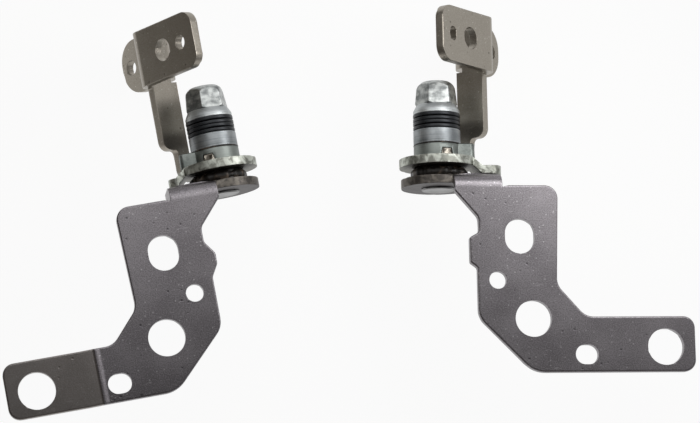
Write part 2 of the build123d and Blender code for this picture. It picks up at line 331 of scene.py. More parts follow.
@dataclass(frozen=True)
class PlatedSheet:
    """Nickel-plated cold-rolled steel sheet, punched and folded.

    The plating gives a satin grey with a faint cloudy tone and a fine grain. Handling leaves light
    flecks, small dark pits and a few short scuffs. The ear round the shaft is galled by wear, and its
    faces that point down the shaft are darkened, partly as grease and partly as painted shade.

    Attributes:
        name: Name of the finish.
        pale: Colour of the clean plating.
        deep: Colour of the duller plating between.
        pit: Colour of the pits, and of the grease and painted shade under the ear.
        fleck: Colour of the flecks and scuffs.
        roughness: Typical roughness of the plating.
        galled: Dark and light colour of the galled ear.
        galled_height_mm: Height above the base ear up to which the sheet is galled.
        galled_radius_mm: Distance from the shaft up to which it is galled.
        cloud_mm: Size of the cloudy tone.
        grain_mm: Size of the fine grain, drawn coarser than the real one so that it shows.
        pit_mm: Distance between cells for pits.
        pit_share: Share of those cells that have a pit.
        fleck_mm: Distance between cells for flecks.
        fleck_share: Share of those cells that have a fleck.
        scuff_mm: Width and length of a scuff.
        set_line: Line pressed across the sheet, or nothing.
    """

    name: str
    pale: str
    deep: str
    pit: str
    fleck: str
    roughness: float
    galled: tuple[str, str]
    galled_height_mm: float = 3.0
    galled_radius_mm: float = 20.0
    cloud_mm: float = 5.0
    grain_mm: float = 0.16
    pit_mm: float = 0.9
    pit_share: float = 0.16
    fleck_mm: float = 0.5
    fleck_share: float = 0.2
    scuff_mm: tuple[float, float] = (0.3, 1.7)
    set_line: SetLine | None = None

    def _marks(
        self, tree: bpy.types.NodeTree, place: bpy.types.NodeSocket, spacing_mm: float, share: float
    ) -> bpy.types.NodeSocket:
        """Adds small round marks in some of the cells of a Voronoi pattern.

        Args:
            tree: Node tree to work in.
            place: Object coordinates.
            spacing_mm: Distance between cells.
            share: Share of the cells that carry a mark.

        Returns:
            Socket that is one on a mark.
        """
        cells = add_node(tree, "ShaderNodeTexVoronoi", {"Vector": place, "Scale": per_mm(spacing_mm)})
        shape = ramp(tree, cells.outputs["Distance"], 0.24, 0.08)
        chance = add_node(tree, "ShaderNodeSeparateColor", {0: cells.outputs["Color"]}).outputs[0]
        return combine(tree, "MULTIPLY", shape, ramp(tree, chance, share + 0.06, share))

    def _scuffs(self, tree: bpy.types.NodeTree, place: bpy.types.NodeSocket, turn: float) -> bpy.types.NodeSocket:
        """Adds short scuffs that lie in one direction.

        Args:
            tree: Node tree to work in.
            place: Object coordinates.
            turn: Direction of the scuffs about Z, in radians.

        Returns:
            Socket that is one on a scuff.
        """
        width, length = self.scuff_mm
        lay = add_node(
            tree,
            "ShaderNodeMapping",
            {"Vector": place, "Rotation": (0.4, 0.3, turn), "Scale": (per_mm(length), per_mm(width), per_mm(1.0))},
        )
        noise = add_node(tree, "ShaderNodeTexNoise", {"Vector": lay.outputs[0], "Scale": 1.0, "Detail": 3.0})
        return ramp(tree, noise.outputs["Fac"], 0.68, 0.78)

    def build(self, shaft: ShaftFrame) -> bpy.types.Material:
        """Builds the finish for the sheet of one hinge.

        Args:
            shaft: The hinge that the sheet belongs to.

        Returns:
            The material.
        """
        material, tree, output = new_tree(f"{self.name}_{shaft.side.value}")
        place = add_node(tree, "ShaderNodeTexCoord").outputs["Object"]
        cloud = add_node(
            tree, "ShaderNodeTexNoise", {"Vector": place, "Scale": per_mm(self.cloud_mm), "Detail": 4.0}
        ).outputs["Fac"]
        grain = add_node(
            tree, "ShaderNodeTexNoise", {"Vector": place, "Scale": per_mm(self.grain_mm), "Detail": 1.0}
        ).outputs["Fac"]
        tone = combine(tree, "MULTIPLY_ADD", grain, 0.7, combine(tree, "MULTIPLY", cloud, 0.3))
        colour = mix_colour(tree, ramp(tree, tone, 0.38, 0.62), linear(self.deep), linear(self.pale))
        pits = self._marks(tree, place, self.pit_mm, self.pit_share)
        flecks = self._marks(tree, place, self.fleck_mm, self.fleck_share)
        scuffs = combine(tree, "MAXIMUM", self._scuffs(tree, place, 0.5), self._scuffs(tree, place, -0.9))
        bright_flecks = combine(tree, "MULTIPLY", flecks, 0.85)
        bright_scuffs = combine(tree, "MULTIPLY", scuffs, 0.4)
        light = combine(tree, "MAXIMUM", bright_flecks, bright_scuffs)
        lightened = mix_colour(tree, light, colour, linear(self.fleck))
        finished = mix_colour(tree, combine(tree, "MULTIPLY", pits, 0.6), lightened, linear(self.pit))
        rough = combine(tree, "MULTIPLY_ADD", cloud, 0.12, self.roughness - 0.06)
        rough = combine(tree, "MULTIPLY_ADD", scuffs, 0.12, rough)
        height = combine(tree, "MULTIPLY_ADD", pits, -0.8, combine(tree, "MULTIPLY", grain, 0.3))
        finished, rough, height = self._gall(tree, shaft, finished, rough, height)
        texture = {"Strength": 0.4, "Distance": 0.06 * MM, "Height": height}
        if self.set_line is not None:
            line = self.set_line
            distance = line.distance(tree, place)
            # Painted reflection: the foot is lightened and warmed in colour, standing in for the bent foot
            # reflecting another part of the room.
            on_foot = ramp(tree, distance, line.foot_edge_mm * MM, -line.foot_edge_mm * MM)
            painted_reflection = combine(tree, "MULTIPLY", on_foot, line.foot_reflection_share)
            finished = mix_colour(tree, painted_reflection, finished, linear(line.foot))
            texture["Normal"] = line.relief(tree, distance)
        bump = add_node(tree, "ShaderNodeBump", texture)
        shader = add_node(
            tree,
            "ShaderNodeBsdfPrincipled",
            {"Base Color": finished, "Metallic": 1.0, "Roughness": rough, "Normal": bump.outputs[0]},
        )
        tree.links.new(shader.outputs[0], output.inputs[0])
        return material

    def _gall(
        self,
        tree: bpy.types.NodeTree,
        shaft: ShaftFrame,
        colour: bpy.types.NodeSocket,
        rough: bpy.types.NodeSocket,
        height: bpy.types.NodeSocket,
    ) -> tuple[bpy.types.NodeSocket, bpy.types.NodeSocket, bpy.types.NodeSocket]:
        """Lays torn, smeared metal over the ear, near the shaft and below a height along it, and darkens its
        faces that point down the shaft, partly as grease and partly as painted shade.

        Args:
            tree: Node tree to work in.
            shaft: The hinge that the ear belongs to.
            colour: Colour of the sheet elsewhere.
            rough: Roughness of the sheet elsewhere.
            height: Relief of the sheet elsewhere.

        Returns:
            Colour, roughness and relief with the galled ear.
        """
        dark, light = self.galled
        place = add_node(tree, "ShaderNodeTexCoord").outputs["Object"]
        radius, level = shaft.coordinates(tree)
        low = ramp(tree, level, (self.galled_height_mm + 0.4) * MM, (self.galled_height_mm - 0.3) * MM)
        near = ramp(tree, radius, (self.galled_radius_mm + 0.4) * MM, (self.galled_radius_mm - 0.4) * MM)
        zone = combine(tree, "MULTIPLY", low, near)
        torn = add_node(
            tree, "ShaderNodeTexNoise", {"Vector": place, "Scale": per_mm(0.9), "Detail": 4.0, "Distortion": 0.6}
        ).outputs["Fac"]
        mottled = mix_colour(tree, ramp(tree, torn, 0.38, 0.62), linear(dark), linear(light))
        facing = add_node(tree, "ShaderNodeTexCoord").outputs["Normal"]
        upward = add_node(
            tree, "ShaderNodeVectorMath", {0: facing, 1: shaft.along}, operation="DOT_PRODUCT"
        ).outputs["Value"]
        # Faces that point down the shaft take the dark grease colour: partly real grease, partly painted shade on
        # the ear's underside.
        grease_and_painted_shade = combine(tree, "MULTIPLY", ramp(tree, upward, -0.3, -0.6), ramp(tree, torn, 0.25, 0.45))
        soiled_and_painted_shade = mix_colour(tree, combine(tree, "MULTIPLY", grease_and_painted_shade, 0.8), mottled, linear(self.pit))
        covered = mix_colour(tree, combine(tree, "MULTIPLY", zone, 0.9), colour, soiled_and_painted_shade)
        dulled = combine(tree, "MULTIPLY_ADD", zone, 0.08, rough)
        relief = combine(tree, "MULTIPLY_ADD", combine(tree, "MULTIPLY", zone, torn), 1.6, height)
        return covered, dulled, relief


@dataclass(frozen=True)
class TurnedSteel:
    """Steel turned on a lathe: fine rings round the shaft axis, with a dull oily tone in places.

    Attributes:
        name: Name of the finish.
        pale: Colour of the ridges.
        deep: Colour of the furrows and oily places.
        roughness: Typical roughness.
        ring_mm: Spacing of the turning rings, drawn coarser than the real ones so that they show.
        oil_mm: Size of the oily or mottled places.
    """

    name: str
    pale: str
    deep: str
    roughness: float
    ring_mm: float = 0.22
    oil_mm: float = 2.2

    def build(self, shaft: ShaftFrame) -> bpy.types.Material:
        """Builds the finish with its rings about one shaft.

        Args:
            shaft: The hinge that the rings go round.

        Returns:
            The material.
        """
        material, tree, output = new_tree(f"{self.name}_{shaft.side.value}")
        radius, height = shaft.coordinates(tree)
        place = add_node(tree, "ShaderNodeTexCoord").outputs["Object"]
        spot = add_node(tree, "ShaderNodeCombineXYZ", {0: radius, 1: height})
        rings = add_node(
            tree, "ShaderNodeTexNoise", {"Vector": spot.outputs[0], "Scale": per_mm(self.ring_mm), "Detail": 2.0}
        ).outputs["Fac"]
        oil = add_node(
            tree, "ShaderNodeTexNoise", {"Vector": place, "Scale": per_mm(self.oil_mm), "Detail": 3.0}
        ).outputs["Fac"]
        tone = combine(tree, "MULTIPLY_ADD", oil, 0.6, combine(tree, "MULTIPLY", rings, 0.4))
        colour = mix_colour(tree, ramp(tree, tone, 0.36, 0.62), linear(self.deep), linear(self.pale))
        rough = combine(tree, "MULTIPLY_ADD", rings, 0.15, self.roughness - 0.07)
        bump = add_node(tree, "ShaderNodeBump", {"Strength": 0.2, "Distance": 0.04 * MM, "Height": rings})
        shader = add_node(
            tree,
            "ShaderNodeBsdfPrincipled",
            {"Base Color": colour, "Metallic": 1.0, "Roughness": rough, "Normal": bump.outputs[0]},
        )
        tree.links.new(shader.outputs[0], output.inputs[0])
        return material


@dataclass(frozen=True)
class BlackOxide:
    """Spring steel with a black oxide skin, rubbed bright in patches inside the rims of the discs.

    Attributes:
        name: Name of the finish.
        skin: Colour of the oxide.
        rubbed: Colour of the bare steel where it is rubbed.
        roughness: Typical roughness of the oxide.
        rim_mm: Radius within which the discs are rubbed.
    """

    name: str
    skin: str
    rubbed: str
    roughness: float
    rim_mm: float = 3.19

    def build(self, shaft: ShaftFrame) -> bpy.types.Material:
        """Builds the finish with its rubbed patches about one shaft.

        Args:
            shaft: The hinge whose discs it covers.

        Returns:
            The material.
        """
        material, tree, output = new_tree(f"{self.name}_{shaft.side.value}")
        radius, _ = shaft.coordinates(tree)
        place = add_node(tree, "ShaderNodeTexCoord").outputs["Object"]
        patch = add_node(
            tree, "ShaderNodeTexNoise", {"Vector": place, "Scale": per_mm(1.6), "Detail": 3.0}
        ).outputs["Fac"]
        inside = ramp(tree, radius, self.rim_mm * MM, (self.rim_mm - 0.08) * MM)
        rubbed = combine(tree, "MULTIPLY", inside, ramp(tree, patch, 0.42, 0.62))
        colour = mix_colour(tree, combine(tree, "MULTIPLY", rubbed, 0.5), linear(self.skin), linear(self.rubbed))
        rough = combine(tree, "MULTIPLY_ADD", patch, 0.2, self.roughness - 0.1)
        shader = add_node(
            tree, "ShaderNodeBsdfPrincipled", {"Base Color": colour, "Metallic": 0.6, "Roughness": rough}
        )
        tree.links.new(shader.outputs[0], output.inputs[0])
        return material


@dataclass(frozen=True)
class Grease:
    """Dark hinge grease: a brown-black film, glossy where thick and smeared unevenly.

    Attributes:
        name: Name of the finish.
        thick: Colour where it is thick.
        thin: Colour where the steel shows through.
        roughness: Typical roughness.
    """

    name: str
    thick: str
    thin: str
    roughness: float

    def build(self) -> bpy.types.Material:
        """Builds the finish as a material.

        Returns:
            The material.
        """
        material, tree, output = new_tree(self.name)
        place = add_node(tree, "ShaderNodeTexCoord").outputs["Object"]
        smear = add_node(
            tree, "ShaderNodeTexNoise", {"Vector": place, "Scale": per_mm(1.1), "Detail": 4.0, "Distortion": 0.8}
        ).outputs["Fac"]
        colour = mix_colour(tree, ramp(tree, smear, 0.5, 0.72), linear(self.thick), linear(self.thin))
        rough = combine(tree, "MULTIPLY_ADD", smear, 0.3, self.roughness - 0.15)
        bump = add_node(tree, "ShaderNodeBump", {"Strength": 0.4, "Distance": 0.08 * MM, "Height": smear})
        shader = add_node(
            tree,
            "ShaderNodeBsdfPrincipled",
            {"Base Color": colour, "Metallic": 0.25, "Roughness": rough, "Normal": bump.outputs[0]},
        )
        tree.links.new(shader.outputs[0], output.inputs[0])
        return material


RIGHT_BASE_SHEET = PlatedSheet(
    name="nickel_plated_base_sheet",
    pale="#928e91",
    deep="#787477",
    pit="#403e40",
    fleck="#c4c2c3",
    roughness=0.4,
    galled=("#48443f", "#6c675f"),
    galled_radius_mm=5.5,
)
LEFT_BASE_SHEET = replace(
    RIGHT_BASE_SHEET,
    set_line=SetLine(
        point_mm=(-68.3, -2.12, 0.0),
        across=(0.9825, 0.1862, 0.0),
        step_mm=(0.16, 0.35),
        rise_mm=(0.22, 0.8),
        # Painted reflection: lighter, warmer colour of the foot.
        foot="#98928b",
    ),
)
LID_SHEET = PlatedSheet(
    name="nickel_plated_lid_sheet",
    pale="#9f998f",
    deep="#938d83",
    pit="#4a4640",
    fleck="#cdc8be",
    roughness=0.36,
    galled=("#7d7f78", "#c3c7be"),
    cloud_mm=3.5,
)
BRIGHT_STEEL = TurnedSteel("turned_bright_steel", "#a0a4a6", "#7d8183", 0.44)
CAP_STEEL = TurnedSteel("turned_cap_steel", "#c4c8c8", "#9fa3a4", 0.46)
SHAFT_STEEL = TurnedSteel("turned_shaft_steel", "#8d8d8d", "#5d5c5b", 0.35)
NUT_STEEL = TurnedSteel(
    "zinc_plated_nut_steel", "#b9bcba", "#6f7272", 0.38, ring_mm=0.6, oil_mm=1.0
)
CAM_STEEL = TurnedSteel("sintered_cam_steel", "#868b87", "#6b706d", 0.46, ring_mm=0.4)
SPRING_OXIDE = BlackOxide("black_oxide_spring_steel", "#2a2c2f", "#9fa4a6", 0.38)
HINGE_GREASE = Grease("dark_hinge_grease", "#1d1916", "#5f5246", 0.4)


def surface(name: str, grid: np.ndarray, material: bpy.types.Material) -> bpy.types.Object:
    """Makes a smooth mesh from a grid of points that closes on itself both ways.

    The grid's first index runs along the profile and the second round the path, and each point is
    joined to its next neighbour in both directions, the last to the first.

    Args:
        name: Name of the piece.
        grid: Points in metres, shaped rows by columns by three.
        material: Finish of the piece.

    Returns:
        The new object at the origin.
    """
    rows, columns = grid.shape[:2]
    index = np.arange(rows * columns).reshape(rows, columns)
    below, beside = np.roll(index, -1, axis=0), np.roll(index, -1, axis=1)
    both = np.roll(below, -1, axis=1)
    quads = np.stack([index, beside, both, below], axis=-1).reshape(-1, 4)
    mesh = bpy.data.meshes.new(name)
    mesh.from_pydata(grid.reshape(-1, 3), [], quads)
    mesh.polygons.foreach_set("use_smooth", np.ones(len(quads), bool))
    mesh.materials.append(material)
    mesh.update()
    made = bpy.data.objects.new(name, mesh)
    bpy.context.scene.collection.objects.link(made)
    return made


def revolve(profile: np.ndarray, steps: int) -> np.ndarray:
    """Carries a closed profile of radius and height round the shaft axis.

    A point of radius r and height y at angle a goes to (r cos a, y, r sin a).

    Args:
        profile: Rows of radius and height in millimetres.
        steps: Points round the axis.

    Returns:
        Grid of points in hinge axes, in millimetres.
    """
    angle = np.linspace(0.0, 2 * math.pi, steps, endpoint=False)
    radius, height = profile[:, :1], profile[:, 1:]
    return np.stack(
        [radius * np.cos(angle), np.broadcast_to(height, (len(profile), steps)), radius * np.sin(angle)], axis=-1
    )


@dataclass(frozen=True)
class DiscSpring:
    """One conical disc spring with rounded rims.

    Attributes:
        low: Height of its lower face at the rim, in millimetres above the base ear.
        cone: How far the bore stands above the rim; negative for a disc that is turned over.
        thickness: Thickness of the disc.
        bore: Radius of the bore.
        rim: Radius of the rim.
        sharpness: Power of the superellipse; small is square, one is an ellipse.
        profile_steps: Points round the disc's section.
        ring_steps: Points round the shaft.
    """

    low: float
    cone: float
    thickness: float = 0.5
    bore: float = 1.54
    rim: float = 3.25
    sharpness: float = 0.3
    profile_steps: int = 48
    ring_steps: int = 96

    def grid(self) -> np.ndarray:
        """Rounded slab carried round the shaft: a superellipse sheared by the cone, then revolved.

        Returns:
            Grid of points in hinge axes, in millimetres.
        """
        angle = np.linspace(0.0, 2 * math.pi, self.profile_steps, endpoint=False)
        flat = np.sign(np.cos(angle)) * np.abs(np.cos(angle)) ** self.sharpness
        tall = np.sign(np.sin(angle)) * np.abs(np.sin(angle)) ** self.sharpness
        half = (self.rim - self.bore) / 2
        radius = self.bore + half * (1 + flat)
        rise = self.cone * (self.rim - radius) / (self.rim - self.bore)
        height = self.low + self.thickness / 2 * (1 + tall) + rise
        return revolve(np.stack([radius, height], axis=-1), self.ring_steps)


@dataclass(frozen=True)
class LockNut:
    """Hexagon lock nut that tapers to a rounded top, with a bore for the shaft.

    Attributes:
        low: Height of its seat above the base ear, in millimetres.
        high: Height of its top.
        turn: Angle of its first flat from the front, in radians.
        flats: Width across flats at the seat.
        corner: Radius to which the corners of the hexagon are rounded off.
        taper: Share by which the hexagon narrows from seat to top.
        crown: Share of the height at which the top begins to round over.
        top: Radius of the rounded top.
        bore: Radius of the bore.
        foot_cut: How far the corners are cut back at the seat.
        foot_height: Height above the seat at which that cut ends.
        lip_rise: Swell of the top between its rim and the bore.
        lip_drop: How far the bore's mouth lies below the top.
        softness: Sharpness of the smooth minimum; larger is crisper.
    """

    low: float
    high: float
    turn: float
    flats: float = 5.2
    corner: float = 2.97
    taper: float = 0.12
    crown: float = 0.68
    top: float = 1.95
    bore: float = 1.53
    foot_cut: float = 0.18
    foot_height: float = 0.2
    lip_rise: float = 0.06
    lip_drop: float = 0.1
    softness: float = 42.0

    def grid(self) -> np.ndarray:
        """Outer wall, top, bore and seat as one closed loop round the shaft.

        The outer radius is the smooth minimum of the narrowing hexagon's radius at that angle and
        of the crown's or the foot's radius at that height. The loop then goes over the top, down
        the bore and along the seat.

        Returns:
            Grid of points in hinge axes, in millimetres.
        """
        steps, wall_rows, cap_rows, bore_rows, seat_rows = 192, 64, 9, 8, 6
        angle = np.linspace(0.0, 2 * math.pi, steps, endpoint=False)
        sector = math.pi / 3
        within = np.mod(angle - self.turn + sector / 2, sector) - sector / 2
        height = np.linspace(self.low, self.high, wall_rows)
        share = (height - self.low) / (self.high - self.low)
        narrow = 1 - self.taper * share
        hexagon = self.flats / 2 / np.cos(within)[None, :] * narrow[:, None]
        over = np.clip((share - self.crown) / (1 - self.crown), 0.0, 1.0) ** 2
        crown = self.corner * narrow - (self.corner * (1 - self.taper) - self.top) * over
        near_seat = np.clip(1 - (height - self.low) / self.foot_height, 0.0, 1.0)
        foot = self.corner - self.foot_cut * near_seat**2
        limit = np.minimum(crown, foot)[:, None]
        joined = np.exp(-self.softness * hexagon) + np.exp(-self.softness * limit)
        wall = -np.log(joined) / self.softness
        lip = np.linspace(0.0, 1.0, cap_rows + 1)[1:, None]
        cap = wall[-1][None, :] * (1 - lip) + self.bore * lip
        cap_height = self.high + self.lip_rise * np.sin(lip * math.pi) - self.lip_drop * lip**4
        inside = np.full((bore_rows, steps), self.bore)
        inside_height = np.linspace(self.high - self.lip_drop, self.low, bore_rows + 1)[1:]
        outward = np.linspace(0.0, 1.0, seat_rows + 2)[1:-1, None]
        seat = self.bore + (wall[0][None, :] - self.bore) * outward
        seat_height = np.full(seat_rows, self.low)
        radius = np.concatenate([wall, cap, inside, seat])
        level = np.concatenate([height, cap_height[:, 0], inside_height, seat_height])
        tall = np.broadcast_to(level[:, None], radius.shape)
        return np.stack([radius * np.sin(angle), tall, radius * np.cos(angle)], axis=-1)[::-1]


@dataclass(frozen=True)
class GreaseBead:
    """Uneven bead of grease that is squeezed out round a washer's edge.

    Attributes:
        height: Height of the bead above the base ear, in millimetres.
        radius: Radius of the circle that it follows.
        width: Mean half width of the bead, across the shaft.
        thickness: Mean half thickness of the bead, along the shaft.
        unevenness: Share by which the bead swells and thins.
        seed: Start of its random swelling.
        fuller: Direction about the shaft in which the bead is fullest, in radians.
        fullness: Share by which it is wider there.
        swells: Fewest and most swellings of one wave round the shaft.
    """

    height: float
    radius: float
    width: float
    thickness: float
    unevenness: float
    seed: int
    fuller: float = 0.0
    fullness: float = 0.0
    swells: tuple[int, int] = (2, 17)

    def grid(self) -> np.ndarray:
        """Torus whose tube swells as a sum of waves of random phase round the shaft.

        Its width grows towards one side with the square of the cosine of the angle from that side.

        Returns:
            Grid of points in hinge axes, in millimetres.
        """
        steps, around = 200, 16
        angle = np.linspace(0.0, 2 * math.pi, steps, endpoint=False)
        waves = np.arange(self.swells[0], self.swells[1] + 1)
        phase = np.random.default_rng(self.seed).uniform(0, 2 * math.pi, len(waves))
        each = np.sin(waves[:, None] * angle + phase[:, None]) / np.sqrt(waves[:, None])
        swell = np.sum(each, axis=0)
        tube = 1 + self.unevenness * swell / np.abs(swell).max()
        lean = 1 + self.fullness * np.clip(np.cos(angle - self.fuller), 0.0, 1.0) ** 2
        section = np.linspace(0.0, 2 * math.pi, around, endpoint=False)[:, None]
        radius = self.radius + self.width * tube * lean * np.cos(section)
        height = self.height + self.thickness * np.minimum(tube, 1.0) * np.sin(section)
        return np.stack([radius * np.cos(angle), height, radius * np.sin(angle)], axis=-1)


@dataclass
class Stack:
    """Disc springs, lock nut and grease on one shaft.

    Attributes:
        shaft: Axes of the hinge.
        springs_low: Height of the first disc spring above the base ear, in millimetres.
        spring_pitch: Distance from one disc to the next.
        spring_cone: Rise of a disc's cone.
        spring_count: Number of discs.
        cam_joint: Height of the greased joint between cam ring and thrust washer.
        ear_joint: Height of the middle of the greased spacer.
        nut_turn: Angle of the nut's first flat from the front, in radians.
        nut_low: Height of the nut's seat.
        nut_high: Height of the nut's top.
    """

    shaft: ShaftFrame
    springs_low: float
    spring_pitch: float
    spring_cone: float
    spring_count: int
    cam_joint: float
    ear_joint: float
    nut_turn: float
    nut_low: float
    nut_high: float

    def _add(self, name: str, grid: np.ndarray, material: bpy.types.Material) -> bpy.types.Object:
        """Places one piece on the shaft and lets it ride with the bases.

        Args:
            name: Name of the piece without its side.
            grid: Its points in hinge axes, in millimetres.
            material: Its finish.

        Returns:
            The new object.
        """
        piece = surface(f"{self.shaft.side.value}_{name}", self.shaft.place(grid), material)
        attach(piece, Carrier.BASES.value)
        LOG.info("%s: %d faces", piece.name, len(piece.data.polygons))
        return piece

    def build(self) -> None:
        """Builds the discs, the nut and the grease, and lets them stand for their solids."""
        side = self.shaft.side.value
        oxide = SPRING_OXIDE.build(self.shaft)
        for number in range(self.spring_count):
            over = number % 2 == 1
            low = self.springs_low + number * self.spring_pitch + (self.spring_cone if over else 0.0)
            disc = DiscSpring(low, -self.spring_cone if over else self.spring_cone)
            piece = self._add(f"disc_{number + 1}", disc.grid(), oxide)
            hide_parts(f"{side}_disc_spring_{number + 1}")
        shape = LockNut(self.nut_low, self.nut_high, self.nut_turn)
        nut = self._add("nut", shape.grid(), NUT_STEEL.build(self.shaft))
        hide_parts(f"{side}_lock_nut")
        grease = HINGE_GREASE.build()
        collar = GreaseBead(
            height=self.cam_joint, radius=3.17, width=0.11, thickness=0.11, unevenness=0.35, seed=3
        )
        smear = GreaseBead(
            height=self.ear_joint,
            radius=3.2,
            width=0.4,
            thickness=0.74,
            unevenness=0.5,
            seed=8,
            fuller=math.pi if self.shaft.side is Side.LEFT else 0.0,
            fullness=0.9,
        )
        self._add("cam_grease", collar.grid(), grease)
        self._add("ear_grease", smear.grid(), grease)


@dataclass
class Brackets:
    """The folded brackets and plain turned pieces of one hinge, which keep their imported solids.

    Attributes:
        shaft: Axes of the hinge.
        nodes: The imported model's objects by name.
        sheared_edge: Radius of the sheared edges of the sheet, in millimetres.
        turned_edge: Radius of the edges of turned pieces.
        edge_steps: Faces across a rounded edge.
        sharp_angle: Angle in degrees above which an edge is rounded.
        flat_angle: Angle in degrees below which neighbouring faces are one flat.
        weld_gap: Distance in metres below which points are one.
    """

    shaft: ShaftFrame
    nodes: dict[str, bpy.types.Object]
    sheared_edge: float = 0.18
    turned_edge: float = 0.08
    edge_steps: int = 3
    sharp_angle: float = 50.0
    flat_angle: float = 0.6
    weld_gap: float = 1e-6

    def _dress(self, kind: str, material: bpy.types.Material, edge: float) -> None:
        """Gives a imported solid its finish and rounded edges.

        Args:
            kind: Name of the node without its side.
            material: Its finish.
            edge: Radius of its edges in millimetres.
        """
        solid = self.nodes[f"{self.shaft.side.value}_{kind}"]
        solid.data.materials.clear()
        solid.data.materials.append(material)
        weld = solid.modifiers.new("weld", "WELD")
        weld.merge_threshold = self.weld_gap
        flats = solid.modifiers.new("flats", "DECIMATE")
        flats.decimate_type = "DISSOLVE"
        flats.angle_limit = math.radians(self.flat_angle)
        bevel = solid.modifiers.new("edge", "BEVEL")
        bevel.offset_type = "ABSOLUTE"
        bevel.width = edge * MM
        bevel.segments = self.edge_steps
        bevel.limit_method = "ANGLE"
        bevel.angle_limit = math.radians(self.sharp_angle)
        bevel.use_clamp_overlap = False
        normals = solid.modifiers.new("normals", "WEIGHTED_NORMAL")
        normals.keep_sharp = False
        LOG.info("%s dressed as %s", solid.name, material.name)

    def dress(self) -> None:
        """Dresses both brackets and the turned pieces."""
        bright = BRIGHT_STEEL.build(self.shaft)
        base = LEFT_BASE_SHEET if self.shaft.side is Side.LEFT else RIGHT_BASE_SHEET
        self._dress("base_bracket", base.build(self.shaft), self.sheared_edge)
        self._dress("lid_bracket", LID_SHEET.build(self.shaft), self.sheared_edge)
        self._dress("cam_ring", CAM_STEEL.build(self.shaft), self.turned_edge)
        self._dress("thrust_washer", bright, self.turned_edge)
        self._dress("cap_washer", CAP_STEEL.build(self.shaft), self.turned_edge)
        self._dress("spacer_washer", HINGE_GREASE.build(), self.turned_edge)
        self._dress("hinge_shaft", SHAFT_STEEL.build(self.shaft), self.turned_edge)


@dataclass(frozen=True)
class Room:
    """Soft room of six walls, each with its own brightness, that run smoothly into each other.

    The light from a direction is the sum over its three axes of the square of that component times
    the colour of the wall on that side, and the squares add up to one.

    Attributes:
        right: Colour of the wall at the right of the picture.
        left: Colour of the wall at the left.
        top: Colour above the picture.
        bottom: Colour below the picture.
        front: Colour behind the camera.
        back: Colour behind the pair.
    """

    right: str
    left: str
    top: str
    bottom: str
    front: str
    back: str

    def light(self, tree: bpy.types.NodeTree) -> bpy.types.NodeSocket:
        """Adds the nodes that give the room's light in the direction of a ray.

        Args:
            tree: Node tree of the world.

        Returns:
            Socket of the light's colour.
        """
        ray = add_node(tree, "ShaderNodeTexCoord").outputs["Generated"]
        parts = add_node(tree, "ShaderNodeSeparateXYZ", {0: ray})
        walls = ((self.left, self.right), (self.bottom, self.top), (self.back, self.front))
        total: object = (0.0, 0.0, 0.0)
        for axis, (negative, positive) in enumerate(walls):
            part = parts.outputs[axis]
            ahead = combine(tree, "GREATER_THAN", part, 0.0)
            wall = mix_colour(tree, ahead, linear(negative), linear(positive))
            square = combine(tree, "MULTIPLY", part, part)
            weighed = add_node(
                tree, "ShaderNodeVectorMath", {0: wall, "Scale": square}, operation="SCALE"
            ).outputs[0]
            total = add_node(
                tree, "ShaderNodeVectorMath", {0: total, 1: weighed}, operation="ADD"
            ).outputs[0]
        return total


@dataclass(frozen=True)
class Softbox:
    """Soft lamp that faces the pair and is not seen itself.

    Attributes:
        name: Name of the lamp.
        place: Where it hangs, in millimetres.
        size: Width and height in millimetres.
        power: Power in watts.
    """

    name: str
    place: tuple[float, float, float]
    size: tuple[float, float]
    power: float

    def hang(self, target: Vector) -> None:
        """Hangs the lamp.

        Args:
            target: Point that it faces, in metres.
        """
        data = bpy.data.lights.new(self.name, "AREA")
        data.shape = "RECTANGLE"
        data.size, data.size_y = self.size[0] * MM, self.size[1] * MM
        data.energy = self.power
        made = bpy.data.objects.new(self.name, data)
        spot = Vector(self.place) * MM
        turn = (target - spot).to_track_quat("-Z", "Y").to_matrix().to_4x4()
        made.matrix_world = Matrix.Translation(spot) @ turn
        made.visible_camera = False
        bpy.context.scene.collection.objects.link(made)


SOFTBOXES = (
    Softbox("wide_softbox", (-20.0, 50.0, 80.0), (150.0, 30.0), 0.0152),
    Softbox("top_softbox", (-25.0, 46.0, 28.0), (150.0, 20.0), 0.009),
    Softbox("right_softbox", (6.0, 50.0, 40.0), (50.0, 24.0), 0.0148),
    Softbox("left_softbox", (-62.0, 36.0, 58.0), (50.0, 34.0), 0.0055),
)


@dataclass(frozen=True)
class Flag:
    """Grey card that leans away from the pair at the left and keeps the left heads dim.

    Attributes:
        near: X of its lower edge, in millimetres.
        far: X of its upper edge.
        top: Z of its upper edge.
        half_length: Half its length along Y.
        lift: Gap between its lower edge and the floor.
        colour: Colour of the card.
    """

    near: float = -94.0
    far: float = -170.0
    top: float = 70.0
    half_length: float = 160.0
    lift: float = 0.3
    colour: str = "#8f8a84"


